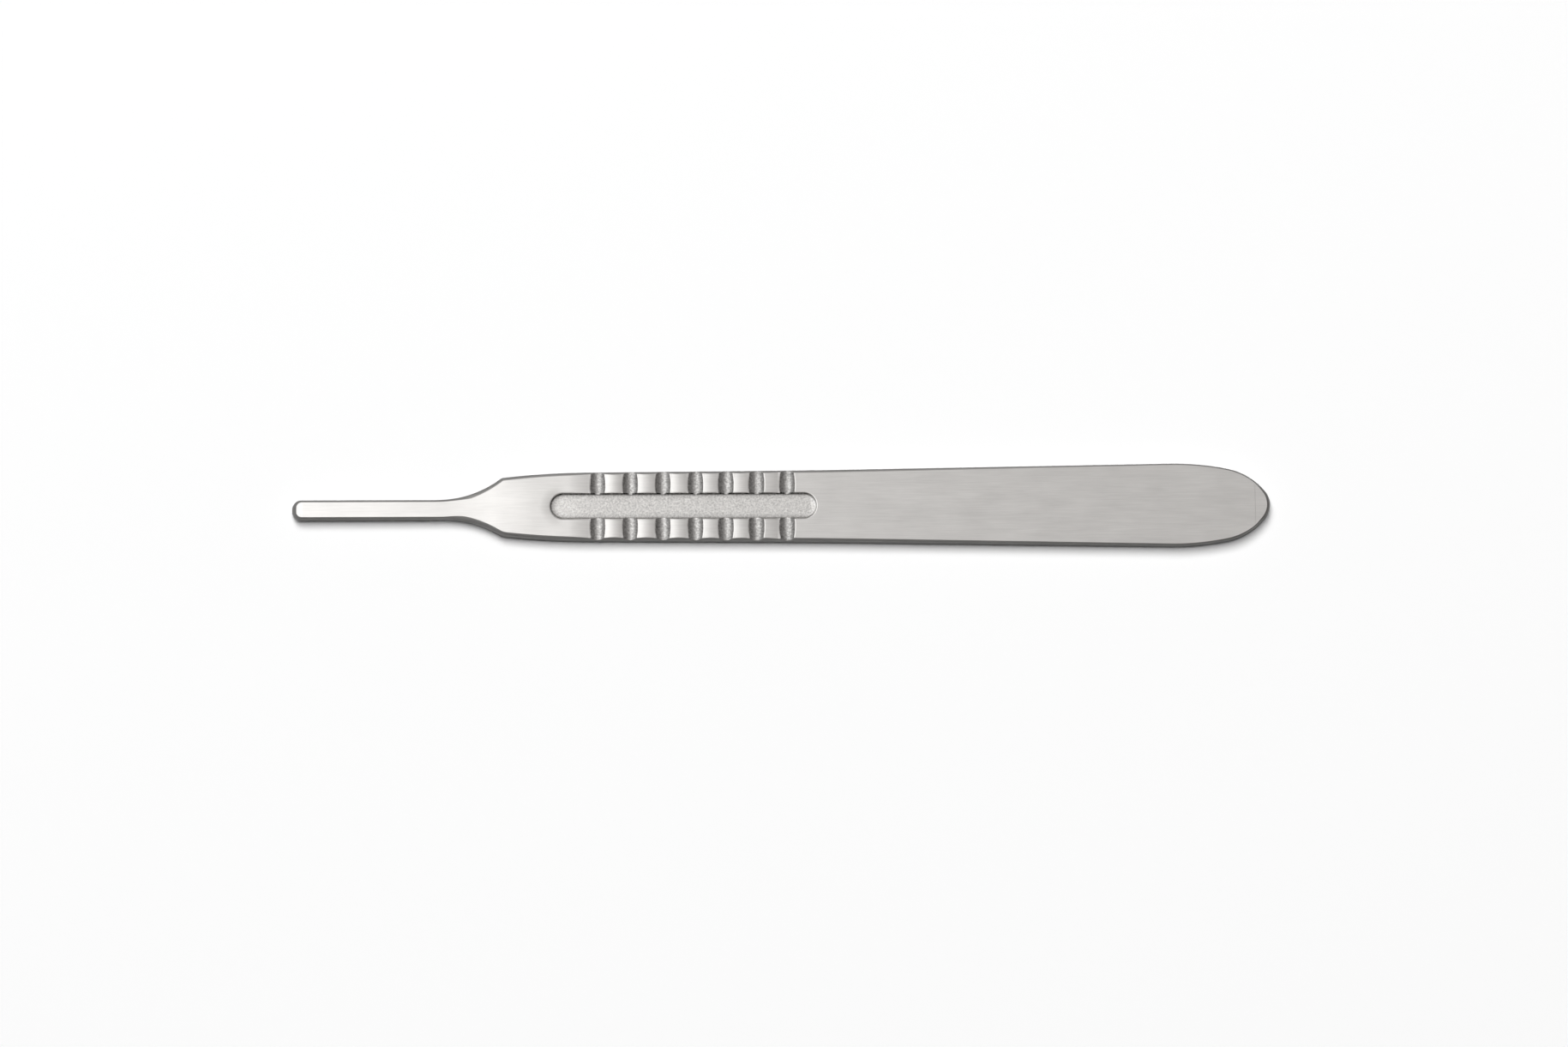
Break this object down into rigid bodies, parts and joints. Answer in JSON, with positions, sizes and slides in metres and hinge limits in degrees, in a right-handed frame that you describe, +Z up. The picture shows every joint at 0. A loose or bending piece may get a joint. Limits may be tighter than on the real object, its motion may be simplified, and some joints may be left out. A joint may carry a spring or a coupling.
{
  "type": "scalpel handle",
  "caption": "Flat steel scalpel handle: narrow blade tongue and hollow neck, grip with a long thumb slot between rows of cross grooves, plain oval tail.",
  "frame": {"origin": "under the middle of the handle's box, on the plane of the face that it lies on", "axes": "+X from the blade tongue to the tail, +Y across the handle, +Z up out of the face that is seen in the picture"},
  "size_m": [0.125, 0.0106, 0.0024],
  "materials": {
    "satin_steel": "satin stainless steel, finely brushed lengthwise, with blasted grooves and thumb slot"
  },
  "bodies": {
    "root": {"handle": "satin_steel"}
  },
  "joints": []
}
